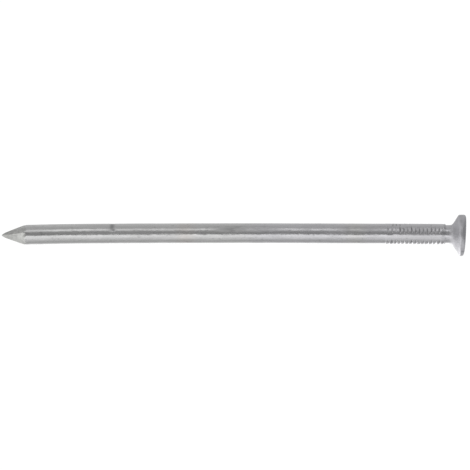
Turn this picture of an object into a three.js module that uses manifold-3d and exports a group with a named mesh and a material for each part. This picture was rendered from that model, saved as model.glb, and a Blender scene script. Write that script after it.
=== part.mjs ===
// A round wire nail for fixing model railway track to a baseboard.
//
// One piece of drawn steel wire, cold-forged: a countersunk head with a thick
// rim, a plain neck, a grip band toothed by the forming dies, a straight shank
// and a four-sided diamond point.
//
// Units are millimetres. The shank's axis is X. The struck face is the plane
// x = 0, the tip is at x = -LENGTH, and +Z is up for the nail as it lies.

import Module from "manifold-3d";
import * as THREE from "three";
import { mergeVertices } from "three/addons/utils/BufferGeometryUtils.js";

// ---------------------------------------------------------------- dimensions

const LENGTH = 24.0;
const WIRE_DIAMETER = 1.0;
const FACETS_AROUND = 48;

// Head: a rim with a rounded front edge, on a cone that runs into the neck.
const HEAD_DIAMETER = 2.14 * WIRE_DIAMETER;
const RIM_BACK_X = -0.4;
const RIM_EDGE_RADIUS = 0.1;
const CONE_HALF_ANGLE = THREE.MathUtils.degToRad(57);
const NECK_DIAMETER = 0.93 * WIRE_DIAMETER;
const NECK_FILLET = 0.3;

// Grip band: a little fatter than the wire, because its teeth displace metal.
const GRIP_DIAMETER = 1.03 * WIRE_DIAMETER;
const GRIP_START_X = -1.08;
const GRIP_STEP = 0.03;
const NOTCH_COUNT = 15;
const NOTCH_PITCH = 0.203;
const FIRST_NOTCH_X = -1.184;
const NOTCH_ROOT_RADIUS = 0.45 * WIRE_DIAMETER;
const NOTCH_HALF_ANGLE = THREE.MathUtils.degToRad(38);

// Point: four flat facets, which meet in four ridges and end in a blunt tip.
const RIDGE_SLOPE = 0.389;
const TIP_CUT_BACK = 0.162;
const POINT_FACETS = 4;

// Turn about the shank of one ridge and of each row of notches, from the side
// that faces -Y towards +Z.
const RIDGE_TURN = THREE.MathUtils.degToRad(28);
const ROW_TURNS = [37, 127, 212, 307].map(THREE.MathUtils.degToRad);

// ------------------------------------------------------------------- solids

const wasm = await Module();
wasm.setup();

/** A closed three.js geometry as a solid, with its shared vertices merged. */
function solidFrom(geometry) {
  const bare = geometry.clone();
  bare.deleteAttribute("normal");
  bare.deleteAttribute("uv");
  const merged = mergeVertices(bare);
  const corners = merged.index.array;
  const kept = [];
  for (let i = 0; i < corners.length; i += 3) {
    const [a, b, c] = corners.slice(i, i + 3);
    const hasArea = a !== b && b !== c && c !== a;
    if (hasArea) {
      kept.push(a, b, c);
    }
  }
  const mesh = new wasm.Mesh({
    numProp: 3,
    vertProperties: merged.attributes.position.array,
    triVerts: new Uint32Array(kept),
  });
  return new wasm.Manifold(mesh);
}

/** A solid as a three.js geometry. */
function geometryFrom(solid) {
  const mesh = solid.getMesh();
  const geometry = new THREE.BufferGeometry();
  geometry.setAttribute("position", new THREE.BufferAttribute(mesh.vertProperties, 3));
  geometry.setIndex(new THREE.BufferAttribute(mesh.triVerts, 1));
  geometry.computeVertexNormals();
  return geometry;
}

/** Turns a geometry from +Y at the given angle, counted from -Y towards +Z. */
function turnAboutShank(geometry, angle) {
  return geometry.rotateX(Math.PI - angle);
}

// -------------------------------------------------------------------- shapes

/** Points on a quarter or less of a circle: (radius, x) for each step of the angle. */
function arcPoints(steps, fullAngle, pointAt) {
  const points = [];
  for (let i = 0; i <= steps; i += 1) {
    const { radius, x } = pointAt((fullAngle * i) / steps);
    points.push(new THREE.Vector2(radius, x));
  }
  return points;
}

/** The fillet between the neck and the cone, from the neck outwards. */
function neckFillet() {
  const neckRadius = NECK_DIAMETER / 2;
  const coneDepth = (HEAD_DIAMETER / 2 - neckRadius) / Math.tan(CONE_HALF_ANGLE);
  const cornerX = RIM_BACK_X - coneDepth;
  const startX = cornerX - NECK_FILLET * Math.tan(CONE_HALF_ANGLE / 2);
  return arcPoints(4, CONE_HALF_ANGLE, (angle) => ({
    radius: neckRadius + NECK_FILLET * (1 - Math.cos(angle)),
    x: startX + NECK_FILLET * Math.sin(angle),
  }));
}

/** The rounded edge between the rim and the struck face, from the rim inwards. */
function rimEdge() {
  const centreRadius = HEAD_DIAMETER / 2 - RIM_EDGE_RADIUS;
  return arcPoints(4, Math.PI / 2, (angle) => ({
    radius: centreRadius + RIM_EDGE_RADIUS * Math.cos(angle),
    x: RIM_EDGE_RADIUS * (Math.sin(angle) - 1),
  }));
}

/** Everything round about the shank, turned in one piece and square at the tip. */
function turnedBlank() {
  const lastNotchX = FIRST_NOTCH_X - (NOTCH_COUNT - 1) * NOTCH_PITCH;
  const gripEndX = lastNotchX - NOTCH_PITCH / 2;
  const outline = [
    new THREE.Vector2(0, -LENGTH),
    new THREE.Vector2(WIRE_DIAMETER / 2, -LENGTH),
    new THREE.Vector2(WIRE_DIAMETER / 2, gripEndX - GRIP_STEP),
    new THREE.Vector2(GRIP_DIAMETER / 2, gripEndX),
    new THREE.Vector2(GRIP_DIAMETER / 2, GRIP_START_X - GRIP_STEP),
    new THREE.Vector2(NECK_DIAMETER / 2, GRIP_START_X),
    ...neckFillet(),
    new THREE.Vector2(HEAD_DIAMETER / 2, RIM_BACK_X),
    ...rimEdge(),
    new THREE.Vector2(0, 0),
  ];
  const facetTurn = Math.PI / FACETS_AROUND;
  const lathe = new THREE.LatheGeometry(outline, FACETS_AROUND, facetTurn);
  lathe.rotateZ(-Math.PI / 2);
  return turnAboutShank(lathe, RIDGE_TURN);
}

/** The pyramid that the point's four facets lie on, opening towards the head. */
function pointPyramid() {
  const height = LENGTH + TIP_CUT_BACK + 1;
  const pyramid = new THREE.ConeGeometry(height * RIDGE_SLOPE, height, POINT_FACETS);
  pyramid.rotateZ(Math.PI / 2);
  pyramid.translate(height / 2 - LENGTH - TIP_CUT_BACK, 0, 0);
  return turnAboutShank(pyramid, RIDGE_TURN);
}

/** One die's comb of V teeth, which presses one row of notches into the band. */
function gripComb(angle) {
  const toothTop = GRIP_DIAMETER / 2 + 0.03;
  const combTop = toothTop + 0.3;
  const halfWidth = (toothTop - NOTCH_ROOT_RADIUS) * Math.tan(NOTCH_HALF_ANGLE);
  const lastNotchX = FIRST_NOTCH_X - (NOTCH_COUNT - 1) * NOTCH_PITCH;
  const comb = new THREE.Shape();
  comb.moveTo(FIRST_NOTCH_X + halfWidth, combTop);
  comb.lineTo(lastNotchX - halfWidth, combTop);
  for (let i = NOTCH_COUNT - 1; i >= 0; i -= 1) {
    const notchX = FIRST_NOTCH_X - i * NOTCH_PITCH;
    comb.lineTo(notchX - halfWidth, toothTop);
    comb.lineTo(notchX, NOTCH_ROOT_RADIUS);
    comb.lineTo(notchX + halfWidth, toothTop);
  }
  comb.closePath();
  const breadth = WIRE_DIAMETER;
  const teeth = new THREE.ExtrudeGeometry(comb, { depth: breadth, bevelEnabled: false });
  teeth.translate(0, 0, -breadth / 2);
  return turnAboutShank(teeth, angle);
}

// ---------------------------------------------------------------------- nail

function nailGeometry() {
  let nail = solidFrom(turnedBlank()).intersect(solidFrom(pointPyramid()));
  for (const angle of ROW_TURNS) {
    nail = nail.subtract(solidFrom(gripComb(angle)));
  }
  return geometryFrom(nail);
}

function brightSteel() {
  return new THREE.MeshStandardMaterial({ color: 0xb9bcbd, roughness: 0.38, metalness: 1.0 });
}

const nail = new THREE.Mesh(nailGeometry(), brightSteel());
nail.name = "track_nail";

const part = new THREE.Group();
part.add(nail);

export default part;
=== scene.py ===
"""Looks of a round wire nail for model railway track, lying on its side.

The nail is one forged piece of drawn steel wire, so it is one closed mesh,
built ring by ring from the struck face to the tip. Everything is in metres in
the CAD model's frame: the shank along X, the struck face at x = 0, the tip at
-X, +Z up. A turn about the shank is counted from the side that faces -Y, the
front, towards +Z.
"""

import math
from collections import namedtuple

import bpy
import numpy as np
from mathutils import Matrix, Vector, noise


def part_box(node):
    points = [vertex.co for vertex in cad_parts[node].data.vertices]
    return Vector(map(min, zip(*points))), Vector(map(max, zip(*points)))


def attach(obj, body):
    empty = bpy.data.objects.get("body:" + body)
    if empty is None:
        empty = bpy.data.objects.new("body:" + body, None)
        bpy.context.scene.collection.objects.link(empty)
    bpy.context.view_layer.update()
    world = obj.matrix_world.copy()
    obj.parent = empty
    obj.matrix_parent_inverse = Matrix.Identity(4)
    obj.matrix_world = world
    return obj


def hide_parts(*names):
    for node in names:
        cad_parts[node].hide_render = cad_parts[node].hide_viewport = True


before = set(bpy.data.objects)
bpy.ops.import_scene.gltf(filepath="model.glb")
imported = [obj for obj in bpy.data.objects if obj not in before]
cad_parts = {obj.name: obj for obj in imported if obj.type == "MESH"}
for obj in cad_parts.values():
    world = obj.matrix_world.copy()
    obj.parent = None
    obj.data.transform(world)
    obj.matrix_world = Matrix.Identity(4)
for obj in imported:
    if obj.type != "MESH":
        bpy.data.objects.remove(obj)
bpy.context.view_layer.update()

# ---------------------------------------------------------------- dimensions

MM = 0.001
NODE = "track_nail"
LOW, HIGH = (Vector(corner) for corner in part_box(NODE))
TIP_X = LOW.x
HEAD_RADIUS = (HIGH.z - LOW.z) / 2
WIRE_RADIUS = 0.513 * MM

# Head
RIM_FRONT_ROUND = 0.11 * MM
RIM_BACK_ROUND = 0.13 * MM
RIM_BACK_X = -0.4 * MM
CONE_ANGLE = math.radians(57)
NECK_RADIUS = 0.465 * MM
NECK_FILLET = 0.3 * MM

# The upset head sits a little low, and its face and cone aren't quite square to the wire
HEAD_DROP = 0.07 * MM
FACE_LEAN = 0.058
CONE_LEAN = -0.03
LEAN_START_X = -0.95 * MM
LEAN_FULL_X = -0.5 * MM

# Where the face's edge is worn away, in front
WORN_SHARE = 0.1
WORN_DEPTH = 0.29 * MM
WORN_TURN = math.radians(29)
WORN_SPREAD = math.radians(58)

# Grip band. Its step up from the neck is longer in front, and it swells beside its lowest row.
GRIP_RADIUS = 0.52 * MM
GRIP_START_X = -1.08 * MM
GRIP_STEP = 0.05 * MM
GRIP_STEP_IN_FRONT = 0.26 * MM
GRIP_FRONT_SPREAD = math.radians(100)
GRIP_SWELL = 0.018 * MM
SWELL_TURN = math.radians(-65)
SWELL_SPREAD = math.radians(55)

# Its notches, pressed by V teeth
NOTCH_COUNT = 15
NOTCH_PITCH = 0.203 * MM
FIRST_NOTCH_X = -1.184 * MM
GRIP_END_X = FIRST_NOTCH_X - (NOTCH_COUNT - 0.5) * NOTCH_PITCH
NOTCH_SLOPE = 1 / math.tan(math.radians(38))
NOTCH_ROOT_ROUND = 0.008 * MM
NOTCH_EDGE_ROUND = 0.012 * MM

# A notch this deep gets the full groove look: rougher, and darkened by grime and painted shade
NOTCH_FULL_DEPTH = 0.1 * MM

# Keeps a tooth's flat edge finite where the wire's surface turns away from it
LEAST_FACING = 0.3

# How much the notches differ in place, depth, turn and slant
PLACE_SPREAD = 0.006 * MM
ROOT_SPREAD = 0.008 * MM
TURN_SPREAD = 0.05
SLANT_SPREAD = 0.05

# Each row's turn, and how far from the axis its notches' roots lie
NOTCH_ROWS = (
    (math.radians(37), 0.472 * MM),
    (math.radians(127), 0.445 * MM),
    (math.radians(212), 0.445 * MM),
    (math.radians(307), 0.45 * MM),
)

# Three notches that the die's edge left by themselves
STRAY_NOTCHES_X = (-3.41 * MM, -3.6 * MM, -3.77 * MM)
STRAY_ROOT = 0.464 * MM
STRAY_TURN = math.radians(78)

# Point: four facets, whose ridges wind round the wire a little
RIDGE_TURN_AT_TIP = math.radians(17)
RIDGE_TWIST = math.radians(13) / MM
TWIST_LENGTH = 2 * MM
FACET_SLOPE = 0.389 * math.cos(math.pi / 4)
FACET_EDGE_ROUND = 0.026 * MM
RIDGE_SHARPNESS = 18
TIP_CUT_BACK = 0.162 * MM
NOSE_LENGTH = 0.22 * MM
POINT_LENGTH = 2.1 * MM

# At this distance from the tip the facets' middles begin to curve out to the round wire
RUN_OUT_START = 0.75 * MM
RUN_OUT_CURVE = 0.55 / MM

# Where the look of cut metal sets in, as depth under the round wire, and how softly the
# sheared pair of facets meets the other pair, as a sine
FACET_FADE_START = -0.01 * MM
FACET_FADE_END = 0.02 * MM
SHEAR_FADE = 0.15

# The wire bows up between its ends, and its last stretch droops towards the tip
BOW = 0.05 * MM
BOW_LENGTH = 23 * MM
BOW_BELOW_AXIS = 0.035 * MM
POINT_DROP = 0.068 * MM
DROOP_LENGTH = 5 * MM

# Unevenness of the drawn wire: its height, and waves per millimetre along and across
WAVE_HEIGHT = 0.002 * MM
WAVES_ALONG = 0.9
WAVES_ACROSS = 1.1

# Single marks: two nicks from the feed jaws, and the metal that the cutters pushed out
# behind the point, whose negative depth stands proud
Mark = namedtuple("Mark", "x half_width turn spread depth")
JAW_NICKS = (
    Mark(-18.27 * MM, 0.19 * MM, math.radians(68), math.radians(54), 0.03 * MM),
    Mark(-18.2 * MM, 0.12 * MM, math.radians(38), math.radians(18), 0.02 * MM),
)
POINT_SHOULDER = Mark(TIP_X + 1.2 * MM, 0.35 * MM, math.radians(-75), math.radians(60), -0.008 * MM)

# Rings of the mesh, and points in each ring
SEGMENTS = 128
FACE_RINGS = 26
FRONT_EDGE_RINGS = 10
RIM_RINGS = 6
BACK_EDGE_RINGS = 6
CONE_RINGS = 16
FILLET_RINGS = 10
NECK_RINGS = 10
RINGS_PER_NOTCH = 15
SHANK_RINGS = 300
POINT_RINGS = 96
NOSE_RINGS = 9
SEED = 7

# Steel colours, as shares of light given back in red, green and blue
STEEL_DARK = (0.39, 0.39, 0.39, 1)
STEEL_LIGHT = (0.45, 0.45, 0.45, 1)
STREAK = (0.37, 0.37, 0.37, 1)
DULL = (0.34, 0.34, 0.34, 1)
# The next colour is dark grime on scratches, specks and scale; in the grooves and nicks it is also
# painted shade
GRIME_AND_SHADE = (0.16, 0.16, 0.165, 1)
CUT_DARK = (0.26, 0.262, 0.255, 1)
CUT_LIGHT = (0.36, 0.363, 0.35, 1)
SHEARED_DARK = (0.32, 0.322, 0.312, 1)
SHEARED_LIGHT = (0.38, 0.383, 0.368, 1)
BLUE_TINT = (0.985, 0.98, 1.01, 1)

# How strongly each kind of mark covers the steel's colour
STREAK_COVER = 0.3
DULL_COVER = 0.35
SCRATCH_COVER = 0.24
SPECK_COVER = 0.35
FACET_COVER = 0.85
# The grooves' and nicks' darkening is part grime, part painted shade
GROOVE_GRIME_AND_SHADE_COVER = 0.75
SCALE_COVER = 0.26

# Patterns in the steel: waves per millimetre along the wire and across it, then detail
FINE_STREAKS = (0.5, 26, 2.0)
BROAD_STREAKS = (0.25, 6, 2.0)
BLOTCHES = (0.7, 1.6, 3.0)
DENTS = (1.3, 2.2, 2.0)
RIPPLES = (2.8, 3.4, 2.0)
GRAINS = (7, 7, 2.0)
SCRATCHES = (2.5, 7, 3.0)
SPECKS = (4, 7.5, 3.0)
SCALE_SPOTS = (4.5, 3.5, 3.0)

# Between which values of a pattern its marks set in
FINE_STREAK_RANGE = (0.3, 0.7)
BROAD_STREAK_RANGE = (0.35, 0.65)
BLOTCH_RANGE = (0.42, 0.62)
GRAIN_RANGE = (0.35, 0.65)
SCRATCH_RANGE = (0.4, 0.62)
SPECK_RANGE = (0.62, 0.7)
SCALE_RANGE = (0.48, 0.66)

# Between which places along the wire, in millimetres, each look of its head end sets in
BLUE_TINT_X = (-12.0, -10.4)
SCALE_X = (-0.7, -0.3)
DULL_HEAD_X = (-0.36, -0.3)
FACE_RELIEF_X = (-0.06, 0.0)

# Height of each pattern's relief, in units of RELIEF_UNIT
RELIEF_UNIT = 0.001 * MM
FINE_STREAK_RELIEF = 0.35
BROAD_STREAK_RELIEF = 1.2
DENT_RELIEF = 2.2
RIPPLE_RELIEF = 15.0
GRAIN_RELIEF = 5.0
SCALE_RELIEF = 9.0

# Roughness of the brightest steel, and what dullness and cut surfaces add to it
BRIGHT_ROUGHNESS = 0.19
DULL_ROUGHNESS = 0.3
CUT_ROUGHNESS = 0.16

# How dull the blotches are, and the head from its rim on
BLOTCH_DULLNESS = 0.35
HEAD_DULLNESS = 0.85

# Patches: place along the wire and half-width in millimetres, then how dull or which tint.
# A scuff is a dull patch on the front of the wire only.
DULL_PATCHES = ((-0.55, 0.55, 1.3), (-2.4, 1.8, 0.42))
SCUFFS = (
    (-22.2, 1.6, 0.35),
    (-18.3, 0.6, 0.5),
    (-12.1, 1.9, 1.3),
    (-10.6, 1.9, 0.9),
    (-8.25, 0.5, 0.6),
    (-6.2, 0.9, 0.9),
    (-4.9, 2.1, 0.8),
    (-2.6, 2.2, 0.85),
)
SCUFF_TURN = math.radians(41)
SCUFF_HALF_WIDTH = math.radians(27)
TINTS = (
    (-14.5, 0.7, (1.0, 0.97, 0.95, 1)),
    (-5.7, 0.8, (1.0, 1.0, 0.965, 1)),
    (-0.3, 1.3, (1.0, 0.998, 1.015, 1)),
)

# Studio: a tent round the nail, whose base is the floor, and a strip softbox above and in
# front of it. The floor is just under the head's end and the point's end of the nail.
TENT_HALF = 0.6
FLOOR_GAP = 0.002 * MM
HEAD_END = 0.5 * MM
POINT_END = 3 * MM
STRIP_DISTANCE = 0.45
STRIP_ELEVATION = math.radians(59)
STRIP_SIZE = (0.7, 0.16)
STRIP_POWER = 0.31

# The world's light. A direction has three parts, right, back and up, each from -1 to 1.
# First the light from the walls, what it gains or loses with each part, and the range of
# right over which the far left's extra gain fades out.
WALL_LIGHT = 0.69
WALL_BACK_GAIN = 0.24
WALL_UP_GAIN = 0.105
WALL_RIGHT_GAIN = -0.27
WALL_FAR_LEFT_GAIN = 0.4
WALL_FAR_LEFT_RANGE = (-1.0, -0.45)

# The same from the sheet under the nail. Its right, far right and left back gains set in
# from a start or over a range; the far right's range is one of up.
SHEET_LIGHT = 1.72
SHEET_DOWN_GAIN = -0.95
SHEET_RIGHT_GAIN = -0.45
SHEET_FAR_RIGHT_GAIN = -1.4
SHEET_LEFT_BACK_GAIN = 1.5
SHEET_RIGHT_START = -0.4
SHEET_FAR_RIGHT_START = 0.3
SHEET_FAR_RIGHT_RANGE = (-0.45, -0.1)
SHEET_LEFT_RANGE = (-0.05, -0.4)
SHEET_BACK_RANGE = (0.2, 0.7)

# The part up at which the sheet ends and the wall has fully begun, at the front and the back
FRONT_TO_BACK = (-0.85, 0.8)
SHEET_END_UP = (-0.015, -0.485)
WALL_START_UP = (0.015, -0.255)

# The camera, which looks along +Y and down
CAMERA_ELEVATION = math.radians(15)
CAMERA_DISTANCE = 200 * MM
VIEW_WIDTH = 24.294 * MM
VIEW_CENTRE = Vector((-11.935 * MM, 0, -0.085 * MM))
SENSOR_WIDTH = 36


# -------------------------------------------------------------------- curves

def soft_min(a, b, width):
    """The smaller of a and b, with the corner between them rounded over width."""
    blend = np.clip(0.5 + 0.5 * (b - a) / width, 0, 1)
    return b + (a - b) * blend - width * blend * (1 - blend)


def smooth_step(start, end, x):
    """0 at start and before it, 1 from end on, and a smooth ramp between them."""
    share = np.clip((x - start) / (end - start), 0, 1)
    return share * share * (3 - 2 * share)


def bump(x, centre, half_width):
    """1 at centre, falling smoothly to 0 at half_width from it."""
    return smooth_step(half_width, 0, np.abs(x - centre))


def turn_bump(turn, centre, half_width):
    """The same round the wire, where a full turn comes back to its start."""
    return smooth_step(half_width, 0, np.arccos(np.cos(turn - centre)))


def mark_share(mark, x, turn):
    """1 in the middle of a mark, 0 outside it."""
    return bump(x, mark.x, mark.half_width) * turn_bump(turn, mark.turn, mark.spread)


def arc(centre, radius, start, end, steps):
    """(x, r) points round an arc; angles are counted from +X towards +r."""
    angles = np.linspace(start, end, steps)
    return [(centre[0] + radius * math.cos(a), centre[1] + radius * math.sin(a)) for a in angles]


def line(start, end, steps):
    """(x, r) points on a straight line, without its two ends."""
    shares = np.linspace(0, 1, steps + 2)[1:-1]
    return [tuple(np.array(start) * (1 - s) + np.array(end) * s) for s in shares]


# ------------------------------------------------------------------ the shape

def head_outline():
    """(x, r) from the middle of the struck face to the start of the neck."""
    front_centre = (-RIM_FRONT_ROUND, HEAD_RADIUS - RIM_FRONT_ROUND)
    back_centre = (RIM_BACK_X + RIM_BACK_ROUND, HEAD_RADIUS - RIM_BACK_ROUND)
    face = line((0, 0), (0, front_centre[1]), FACE_RINGS)
    front = arc(front_centre, RIM_FRONT_ROUND, 0, math.pi / 2, FRONT_EDGE_RINGS)
    back_end = math.pi / 2 + CONE_ANGLE
    back = arc(back_centre, RIM_BACK_ROUND, math.pi / 2, back_end, BACK_EDGE_RINGS)
    rim = line(front[-1], back[0], RIM_RINGS)
    cone_depth = (back[-1][1] - NECK_RADIUS) / math.tan(CONE_ANGLE)
    neck_x = back[-1][0] - cone_depth - NECK_FILLET * math.tan(CONE_ANGLE / 2)
    fillet_centre = (neck_x, NECK_RADIUS + NECK_FILLET)
    fillet_start = CONE_ANGLE - math.pi / 2
    fillet = arc(fillet_centre, NECK_FILLET, fillet_start, -math.pi / 2, FILLET_RINGS)
    cone = line(back[-1], fillet[0], CONE_RINGS)
    return np.array(face + front + rim + back + cone + fillet)


def shank_stations(start_x):
    """Places along the shank, close together where the shape changes fast."""
    grip_start = GRIP_START_X + GRIP_STEP
    grip_end = FIRST_NOTCH_X - NOTCH_COUNT * NOTCH_PITCH
    point_start = TIP_X + POINT_LENGTH
    nose_start = TIP_X + NOSE_LENGTH
    neck = np.linspace(start_x, grip_start, NECK_RINGS)[1:-1]
    grip = np.linspace(grip_start, grip_end, NOTCH_COUNT * RINGS_PER_NOTCH)
    shank = np.linspace(grip_end, point_start, SHANK_RINGS)[1:-1]
    point = np.linspace(point_start, nose_start, POINT_RINGS)[:-1]
    nose = nose_start - NOSE_LENGTH * np.sin(np.linspace(0, math.pi / 2, NOSE_RINGS)[:-1])
    return np.concatenate([neck, grip, shank, point, nose])


def shank_radius(x, turn):
    """The radius behind the head before notches and point: neck, grip band, plain wire."""
    in_front = turn_bump(turn, 0, GRIP_FRONT_SPREAD)
    step_end = GRIP_START_X - GRIP_STEP_IN_FRONT * in_front
    in_grip = smooth_step(GRIP_START_X + GRIP_STEP, step_end, x)
    past_grip = smooth_step(GRIP_END_X, GRIP_END_X - GRIP_STEP, x)
    grip_radius = GRIP_RADIUS + GRIP_SWELL * turn_bump(turn, SWELL_TURN, SWELL_SPREAD)
    radius = NECK_RADIUS + (grip_radius - NECK_RADIUS) * in_grip
    return radius + (WIRE_RADIUS - grip_radius) * past_grip


def surface_waves(x, turn):
    """Slight unevenness of the drawn wire, about -1 to 1."""
    waves = np.zeros((len(x), SEGMENTS))
    across = [(math.cos(t) * WAVES_ACROSS, math.sin(t) * WAVES_ACROSS) for t in turn[0]]
    for i, along in enumerate(x[:, 0] / MM * WAVES_ALONG):
        for j, (y, z) in enumerate(across):
            waves[i, j] = noise.fractal(Vector((along, y, z)), 1.0, 2.0, 3)
    return waves


def notch_surface(x, turn):
    """The distance from the axis at which the dies' V teeth stop the metal."""
    rng = np.random.default_rng(SEED)
    surface = np.full(np.broadcast(x, turn).shape, 1.0)

    def press(notch_x, notch_turn, root, slant):
        facing = np.maximum(np.cos(turn - notch_turn), LEAST_FACING)
        offset = x - notch_x - slant * WIRE_RADIUS * np.sin(turn - notch_turn)
        reach = np.sqrt(offset ** 2 + NOTCH_ROOT_ROUND ** 2)
        np.minimum(surface, (root + NOTCH_SLOPE * reach) / facing, out=surface)

    for row_turn, row_root in NOTCH_ROWS:
        for i in range(NOTCH_COUNT):
            notch_x = FIRST_NOTCH_X - i * NOTCH_PITCH + rng.normal(0, PLACE_SPREAD)
            root = row_root + rng.normal(0, ROOT_SPREAD)
            notch_turn = row_turn + rng.normal(0, TURN_SPREAD)
            press(notch_x, notch_turn, root, rng.normal(0, SLANT_SPREAD))
    for notch_x in STRAY_NOTCHES_X:
        press(notch_x, STRAY_TURN, STRAY_ROOT, 0)
    return surface


def ridge_turn_at(x):
    """The turn of the ridge nearest the front, which winds round the point a little."""
    return RIDGE_TURN_AT_TIP + RIDGE_TWIST * np.clip(x - TIP_X, 0, TWIST_LENGTH)


def facet_surface(x, turn):
    """The distance from the axis to the point's four facets, with round ridges."""
    ridge_turn = ridge_turn_at(x)
    mid_facet_turn = turn - ridge_turn - math.pi / 4
    depth = FACET_SLOPE * (x - TIP_X + TIP_CUT_BACK) * 2 ** (1 / RIDGE_SHARPNESS)
    across = np.abs(np.cos(mid_facet_turn)) ** RIDGE_SHARPNESS
    along = np.abs(np.sin(mid_facet_turn)) ** RIDGE_SHARPNESS
    surface = depth / (across + along) ** (1 / RIDGE_SHARPNESS)
    run_out = RUN_OUT_CURVE * np.maximum(x - TIP_X - RUN_OUT_START, 0) ** 2
    surface = surface + np.sin(2 * (turn - ridge_turn)) ** 2 * run_out
    from_tip = np.clip((x - TIP_X) / NOSE_LENGTH, 0, 1)
    return surface * np.sqrt(1 - (1 - from_tip) ** 2)


def nail_radius(x, turn, head):
    """The radius everywhere, and how much each place lies in a groove and on a facet."""
    behind = slice(len(head), None)
    radius = np.empty((len(x), SEGMENTS))
    radius[:len(head)] = head[:, 1:]
    radius[behind] = shank_radius(x[behind], turn)
    radius += surface_waves(x, turn) * WAVE_HEIGHT

    # The groove share roughens the notches and nicks, and darkens them with grime and painted shade
    groove = np.zeros_like(radius)
    notched = soft_min(radius[behind], notch_surface(x[behind], turn), NOTCH_EDGE_ROUND)
    groove[behind] = np.clip((radius[behind] - notched) / NOTCH_FULL_DEPTH, 0, 1)
    for nick in JAW_NICKS:
        groove = np.maximum(groove, mark_share(nick, x, turn))
    radius[behind] = notched

    worn = smooth_step(-WORN_DEPTH, 0, x) ** 2 * turn_bump(turn, WORN_TURN, WORN_SPREAD)
    radius *= 1 - worn * WORN_SHARE
    for mark in (*JAW_NICKS, POINT_SHOULDER):
        radius -= mark_share(mark, x, turn) * mark.depth

    facet = np.zeros_like(radius)
    facets = facet_surface(x[behind], turn)
    facet[behind] = smooth_step(FACET_FADE_START, FACET_FADE_END, radius[behind] - facets)
    radius[behind] = soft_min(radius[behind], facets, FACET_EDGE_ROUND)
    return np.maximum(radius, 0), groove, facet


def ring_points(x, turn, radius):
    """Each ring's points, with the head's drop and lean and the wire's bow and droop."""
    in_head = smooth_step(LEAN_START_X, LEAN_FULL_X, x)
    toward_tip = np.clip((TIP_X + DROOP_LENGTH - x) / DROOP_LENGTH, 0, 1) ** 2
    mid_wire = np.sin(math.pi * np.clip(-x / BOW_LENGTH, 0, 1))
    rise = BOW * mid_wire - BOW_BELOW_AXIS - HEAD_DROP * in_head - POINT_DROP * toward_tip
    height = radius * np.sin(turn)
    on_face = smooth_step(RIM_BACK_X, -RIM_FRONT_ROUND, x)
    lean = FACE_LEAN * (height - HEAD_RADIUS) * on_face + CONE_LEAN * height * (1 - on_face)
    return np.stack([x + lean * in_head, -radius * np.cos(turn), height + rise], axis=-1)


def ring_faces(count):
    """Quads between neighbouring rings, and a fan of triangles at each end."""
    sides = [(j, (j + 1) % SEGMENTS) for j in range(SEGMENTS)]
    faces = []
    for a in range(0, (count - 1) * SEGMENTS, SEGMENTS):
        b = a + SEGMENTS
        faces += [(a + j, a + k, b + k, b + j) for j, k in sides]
    last = (count - 1) * SEGMENTS
    face_centre = count * SEGMENTS
    tip = face_centre + 1
    faces += [(face_centre, k, j) for j, k in sides]
    faces += [(tip, last + j, last + k) for j, k in sides]
    return faces


def nail_mesh():
    """The nail as one closed mesh, with the shares that its material reads."""
    head = head_outline()
    x = np.concatenate([head[:, 0], shank_stations(head[-1, 0])])[:, None]
    turn = np.linspace(0, 2 * math.pi, SEGMENTS, endpoint=False)[None, :]
    radius, groove, facet = nail_radius(x, turn, head)
    sheared = smooth_step(SHEAR_FADE, -SHEAR_FADE, np.sin(2 * (turn - ridge_turn_at(x))))

    rings = ring_points(x, turn, radius)
    face_centre = rings[0].mean(axis=0)
    tip = rings[-1].mean(axis=0)
    tip[0] = TIP_X
    verts = np.vstack([rings.reshape(-1, 3), face_centre, tip])
    mesh = bpy.data.meshes.new("wire_nail")
    mesh.from_pydata(verts.tolist(), [], ring_faces(len(x)))
    mesh.validate()
    for name, shares in (("groove", groove), ("facet", facet), ("sheared", sheared)):
        layer = mesh.attributes.new(name, "FLOAT", "POINT")
        layer.data.foreach_set("value", np.append(shares.ravel(), shares[[0, -1], 0]))
    for polygon in mesh.polygons:
        polygon.use_smooth = True
    return mesh


# ----------------------------------------------------------------- materials

class Nodes:
    """Short calls for building one material's or world's node tree."""

    def __init__(self, tree):
        self.tree = tree
        tree.nodes.clear()

    def add(self, kind, inputs=None, **settings):
        node = self.tree.nodes.new(kind)
        for name, value in settings.items():
            setattr(node, name, value)
        for name, value in (inputs or {}).items():
            self.set(node.inputs[name], value)
        return node

    def set(self, socket, value):
        if isinstance(value, bpy.types.NodeSocket):
            self.tree.links.new(value, socket)
        else:
            socket.default_value = value

    def math(self, operation, a, b=0.0):
        return self.add("ShaderNodeMath", {0: a, 1: b}, operation=operation).outputs[0]

    def plus(self, a, b):
        return self.math("ADD", a, b)

    def minus(self, a, b):
        return self.math("SUBTRACT", a, b)

    def times(self, a, b):
        return self.math("MULTIPLY", a, b)

    def larger(self, a, b):
        return self.math("MAXIMUM", a, b)

    def ramp(self, value, start, end, at_start=0.0, at_end=1.0):
        """A smooth ramp of value, from at_start at start to at_end at end."""
        inputs = {"Value": value, 1: start, 2: end, 3: at_start, 4: at_end}
        node = self.add("ShaderNodeMapRange", inputs, interpolation_type="SMOOTHSTEP")
        return node.outputs["Result"]

    def mix(self, factor, a, b, blend="MIX"):
        node = self.add("ShaderNodeMix", data_type="RGBA", blend_type=blend)
        self.set(node.inputs[0], factor)
        self.set(node.inputs[6], a)
        self.set(node.inputs[7], b)
        return node.outputs[2]


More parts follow.
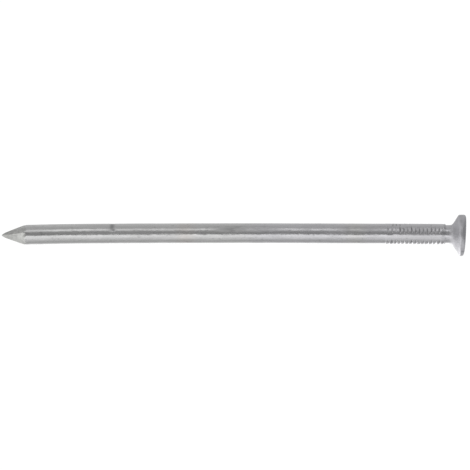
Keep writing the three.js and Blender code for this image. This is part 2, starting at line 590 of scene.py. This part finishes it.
class SteelNodes(Nodes):
    """The nodes of the nail's steel, which share one set of patterns."""

    def __init__(self, tree):
        super().__init__(tree)
        place = self.add("ShaderNodeTexCoord").outputs["Object"]
        scaled = self.add("ShaderNodeVectorMath", {0: place, "Scale": 1 / MM}, operation="SCALE")
        self.place = scaled.outputs[0]
        self.along, self.across, self.up = self.add("ShaderNodeSeparateXYZ", {0: self.place}).outputs
        self.groove = self.share("groove")
        self.facet = self.share("facet")
        self.sheared = self.share("sheared")
        self.fine_streaks = self.pattern(*FINE_STREAKS)
        self.broad_streaks = self.pattern(*BROAD_STREAKS)
        self.grains = self.pattern(*GRAINS)
        self.scale_spots = self.pattern(*SCALE_SPOTS)
        self.scuff = self.scuffs()
        self.dull = self.dullness()

    def share(self, name):
        """One of the shares that the mesh carries at its points."""
        return self.add("ShaderNodeAttribute", attribute_name=name).outputs["Fac"]

    def pattern(self, along, across, detail):
        """Noise with this many waves per millimetre along the wire and across it."""
        scale = {0: self.place, 1: (along, across, across)}
        stretched = self.add("ShaderNodeVectorMath", scale, operation="MULTIPLY").outputs[0]
        inputs = {"Vector": stretched, "Scale": 1.0, "Detail": detail, "Roughness": 0.55}
        return self.add("ShaderNodeTexNoise", inputs).outputs[0]

    def near(self, centre, half_width):
        """1 at a place along the wire, in millimetres, and 0 beyond half_width from it."""
        distance = self.math("ABSOLUTE", self.minus(self.along, centre))
        return self.ramp(distance, half_width, 0.0)

    def scuffs(self):
        """How scuffed the front of the wire is."""
        turn = self.math("ARCTAN2", self.up, self.times(self.across, -1.0))
        off_side = self.math("ABSOLUTE", self.minus(turn, SCUFF_TURN))
        on_side = self.ramp(off_side, SCUFF_HALF_WIDTH, SCUFF_HALF_WIDTH / 2)
        scuff = 0.0
        for centre, half_width, amount in SCUFFS:
            patch = self.times(self.near(centre, half_width), on_side)
            scuff = self.larger(scuff, self.times(patch, amount))
        return scuff

    def dullness(self):
        """How dull the surface is: blotches, the head, the grip band and the scuffs."""
        blotches = self.ramp(self.pattern(*BLOTCHES), *BLOTCH_RANGE)
        on_head = self.ramp(self.along, *DULL_HEAD_X)
        dull = self.times(blotches, BLOTCH_DULLNESS)
        dull = self.larger(dull, self.times(on_head, HEAD_DULLNESS))
        for centre, half_width, amount in DULL_PATCHES:
            dull = self.larger(dull, self.times(self.near(centre, half_width), amount))
        return self.larger(dull, self.scuff)

    def colour(self):
        """Streaked steel, darker where it is dull, scratched or cut, and in the grooves and nicks,
        where the darkening is part grime, part painted shade.
        """
        streaks = self.ramp(self.broad_streaks, *BROAD_STREAK_RANGE)
        scratches = self.ramp(self.pattern(*SCRATCHES), *SCRATCH_RANGE)
        scratches = self.times(self.scuff, scratches)
        specks = self.ramp(self.pattern(*SPECKS), *SPECK_RANGE)
        fine_streaks = self.ramp(self.fine_streaks, *FINE_STREAK_RANGE)
        colour = self.mix(fine_streaks, STEEL_DARK, STEEL_LIGHT)
        colour = self.mix(self.times(streaks, STREAK_COVER), colour, STREAK)
        colour = self.mix(self.times(self.dull, DULL_COVER), colour, DULL)
        colour = self.mix(self.times(scratches, SCRATCH_COVER), colour, GRIME_AND_SHADE)
        colour = self.mix(self.times(specks, SPECK_COVER), colour, GRIME_AND_SHADE)
        colour = self.tinted(colour)
        colour = self.mix(self.times(self.facet, FACET_COVER), colour, self.cut_metal())
        # Painted shade, with some grime, in the grooves and jaw nicks
        colour = self.mix(self.times(self.groove, GROOVE_GRIME_AND_SHADE_COVER), colour, GRIME_AND_SHADE)
        return self.mix(self.times(self.mill_scale(), SCALE_COVER), colour, GRIME_AND_SHADE)

    def tinted(self, colour):
        """The colour with the faint blue of the wire's head end, and its tinted patches."""
        blue = self.mix(1.0, colour, BLUE_TINT, "MULTIPLY")
        colour = self.mix(self.ramp(self.along, *BLUE_TINT_X), colour, blue)
        for centre, half_width, tint in TINTS:
            patch = self.mix(1.0, colour, tint, "MULTIPLY")
            colour = self.mix(self.near(centre, half_width), colour, patch)
        return colour

    def cut_metal(self):
        """The grainy colour of the point's facets, lighter on the sheared pair."""
        mottle = self.ramp(self.grains, *GRAIN_RANGE)
        cut = self.mix(mottle, CUT_DARK, CUT_LIGHT)
        sheared = self.mix(mottle, SHEARED_DARK, SHEARED_LIGHT)
        return self.mix(self.sheared, cut, sheared)

    def mill_scale(self):
        """Dark spots on the head."""
        on_head = self.ramp(self.along, *SCALE_X)
        return self.times(on_head, self.ramp(self.scale_spots, *SCALE_RANGE))

    def roughness(self):
        """Smooth where the steel is bright, rougher where it is dull, notched or cut."""
        roughness = self.plus(BRIGHT_ROUGHNESS, self.times(self.dull, DULL_ROUGHNESS))
        roughness = self.plus(roughness, self.times(self.groove, CUT_ROUGHNESS))
        return self.plus(roughness, self.times(self.facet, CUT_ROUGHNESS))

    def relief(self):
        """The normal over streaks, dents and ripples, grainy facets and a scaly face."""
        on_face = self.ramp(self.along, *FACE_RELIEF_X)
        layers = (
            (self.fine_streaks, FINE_STREAK_RELIEF),
            (self.broad_streaks, BROAD_STREAK_RELIEF),
            (self.pattern(*DENTS), DENT_RELIEF),
            (self.pattern(*RIPPLES), RIPPLE_RELIEF),
            (self.times(self.grains, self.facet), GRAIN_RELIEF),
            (self.times(self.scale_spots, on_face), SCALE_RELIEF),
        )
        height = 0.0
        for layer, amount in layers:
            height = self.plus(height, self.times(layer, amount))
        bump_node = self.add("ShaderNodeBump", {"Height": height, "Distance": RELIEF_UNIT})
        return bump_node.outputs[0]


def steel_material():
    """Bright drawn wire: streaks along it, dull and tinted patches, specks and cut facets."""
    material = bpy.data.materials.new("bright_steel")
    material.use_nodes = True
    n = SteelNodes(material.node_tree)
    inputs = {
        "Base Color": n.colour(),
        "Metallic": 1.0,
        "Roughness": n.roughness(),
        "Normal": n.relief(),
    }
    shader = n.add("ShaderNodeBsdfPrincipled", inputs)
    n.add("ShaderNodeOutputMaterial", {"Surface": shader.outputs[0]})
    return material


def tent_material():
    """Matt white cloth with light behind it."""
    material = bpy.data.materials.new("white_tent")
    material.use_nodes = True
    n = Nodes(material.node_tree)
    inputs = {
        "Base Color": (0.06, 0.06, 0.06, 1),
        "Roughness": 0.9,
        "Specular IOR Level": 0.0,
        "Emission Color": (1, 1, 1, 1),
        "Emission Strength": 1.0,
    }
    shader = n.add("ShaderNodeBsdfPrincipled", inputs)
    n.add("ShaderNodeOutputMaterial", {"Surface": shader.outputs[0]})
    return material


# --------------------------------------------------------------------- scene

def link(thing):
    bpy.context.scene.collection.objects.link(thing)


def from_front(elevation):
    """The direction from the nail to a place in front of it and above it."""
    return Vector((0, -math.cos(elevation), math.sin(elevation)))


def aim_at_nail(thing, away, distance):
    """Puts a lamp or camera at a distance from the middle of the view, facing it."""
    thing.location = VIEW_CENTRE + distance * away
    thing.rotation_euler = away.to_track_quat("Z", "Y").to_euler()


def add_nail():
    nail = bpy.data.objects.new("wire_nail", nail_mesh())
    link(nail)
    nail.data.materials.append(steel_material())
    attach(nail, "root")
    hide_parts(NODE)
    return nail


def floor_height(nail):
    """The plane that the head's rim and the point's shoulder rest on, as z at any x."""
    points = np.array([v.co for v in nail.data.vertices])
    head = points[points[:, 0] > -HEAD_END]
    point = points[points[:, 0] < TIP_X + POINT_END]
    a = head[head[:, 2].argmin()]
    b = point[point[:, 2].argmin()]
    slope = (a[2] - b[2]) / (a[0] - b[0])
    return lambda x: a[2] + slope * (x - a[0]) - FLOOR_GAP


def add_tent(nail):
    """A glowing white tent and floor, which only the camera sees. It doesn't light the nail."""
    height = floor_height(nail)
    corners = [(sx * TENT_HALF, sy * TENT_HALF) for sx, sy in ((-1, -1), (1, -1), (1, 1), (-1, 1))]
    verts = [(x, y, height(x)) for x, y in corners]
    verts += [(x, y, 2 * TENT_HALF) for x, y in corners]
    walls = [(i, (i + 1) % 4, (i + 1) % 4 + 4, i + 4) for i in range(4)]
    mesh = bpy.data.meshes.new("white_tent")
    mesh.from_pydata(verts, [], [(0, 1, 2, 3), (4, 5, 6, 7)] + walls)
    mesh.materials.append(tent_material())
    tent = bpy.data.objects.new("white_tent", mesh)
    tent.visible_diffuse = False
    tent.visible_glossy = False
    tent.visible_transmission = False
    tent.visible_shadow = False
    link(tent)


def wall_light(n, right, back, up):
    """Light from the walls: stronger behind, above and far left, weaker on the right."""
    light = n.plus(WALL_LIGHT, n.times(back, WALL_BACK_GAIN))
    light = n.plus(light, n.times(up, WALL_UP_GAIN))
    light = n.plus(light, n.times(n.larger(right, 0.0), WALL_RIGHT_GAIN))
    return n.plus(light, n.ramp(right, *WALL_FAR_LEFT_RANGE, WALL_FAR_LEFT_GAIN, 0.0))


def sheet_light(n, right, back, up):
    """Light from the sheet under the nail: weaker straight below and on the right."""
    far_right = n.larger(n.minus(right, SHEET_FAR_RIGHT_START), 0.0)
    far_right = n.times(far_right, n.ramp(up, *SHEET_FAR_RIGHT_RANGE))
    left_back = n.times(n.ramp(right, *SHEET_LEFT_RANGE), n.ramp(back, *SHEET_BACK_RANGE))
    light = n.plus(SHEET_LIGHT, n.times(n.times(up, up), SHEET_DOWN_GAIN))
    light = n.plus(light, n.times(n.larger(right, SHEET_RIGHT_START), SHEET_RIGHT_GAIN))
    light = n.plus(light, n.times(far_right, SHEET_FAR_RIGHT_GAIN))
    return n.plus(light, n.times(left_back, SHEET_LEFT_BACK_GAIN))


def add_world():
    """The light that the nail gets from every side: walls, and a bright sheet below them."""
    world = bpy.data.worlds.new("studio")
    bpy.context.scene.world = world
    world.use_nodes = True
    n = Nodes(world.node_tree)
    direction = n.add("ShaderNodeTexCoord").outputs["Generated"]
    right, back, up = n.add("ShaderNodeSeparateXYZ", {0: direction}).outputs
    sheet_end = n.ramp(back, *FRONT_TO_BACK, *SHEET_END_UP)
    wall_start = n.ramp(back, *FRONT_TO_BACK, *WALL_START_UP)
    is_wall = n.ramp(up, sheet_end, wall_start)
    walls = n.times(wall_light(n, right, back, up), is_wall)
    sheet = n.times(sheet_light(n, right, back, up), n.minus(1.0, is_wall))
    inputs = {"Color": (1, 1, 1, 1), "Strength": n.plus(walls, sheet)}
    background = n.add("ShaderNodeBackground", inputs)
    n.add("ShaderNodeOutputWorld", {"Surface": background.outputs[0]})


def add_strip_light():
    """A long softbox above and in front of the nail."""
    data = bpy.data.lights.new("strip", "AREA")
    data.shape = "RECTANGLE"
    data.size, data.size_y = STRIP_SIZE
    data.energy = STRIP_POWER
    strip = bpy.data.objects.new("strip", data)
    aim_at_nail(strip, from_front(STRIP_ELEVATION), STRIP_DISTANCE)
    link(strip)


def add_camera():
    data = bpy.data.cameras.new("camera")
    data.sensor_width = SENSOR_WIDTH
    data.lens = SENSOR_WIDTH * CAMERA_DISTANCE / VIEW_WIDTH
    data.clip_start = 0.01
    camera = bpy.data.objects.new("camera", data)
    aim_at_nail(camera, from_front(CAMERA_ELEVATION), CAMERA_DISTANCE)
    link(camera)
    bpy.context.scene.camera = camera


def write_size():
    """Updates the view layer, so that every object's placement is current."""
    bpy.context.view_layer.update()


add_camera()
add_tent(add_nail())
add_world()
add_strip_light()
bpy.context.scene.view_settings.view_transform = "Standard"
write_size()
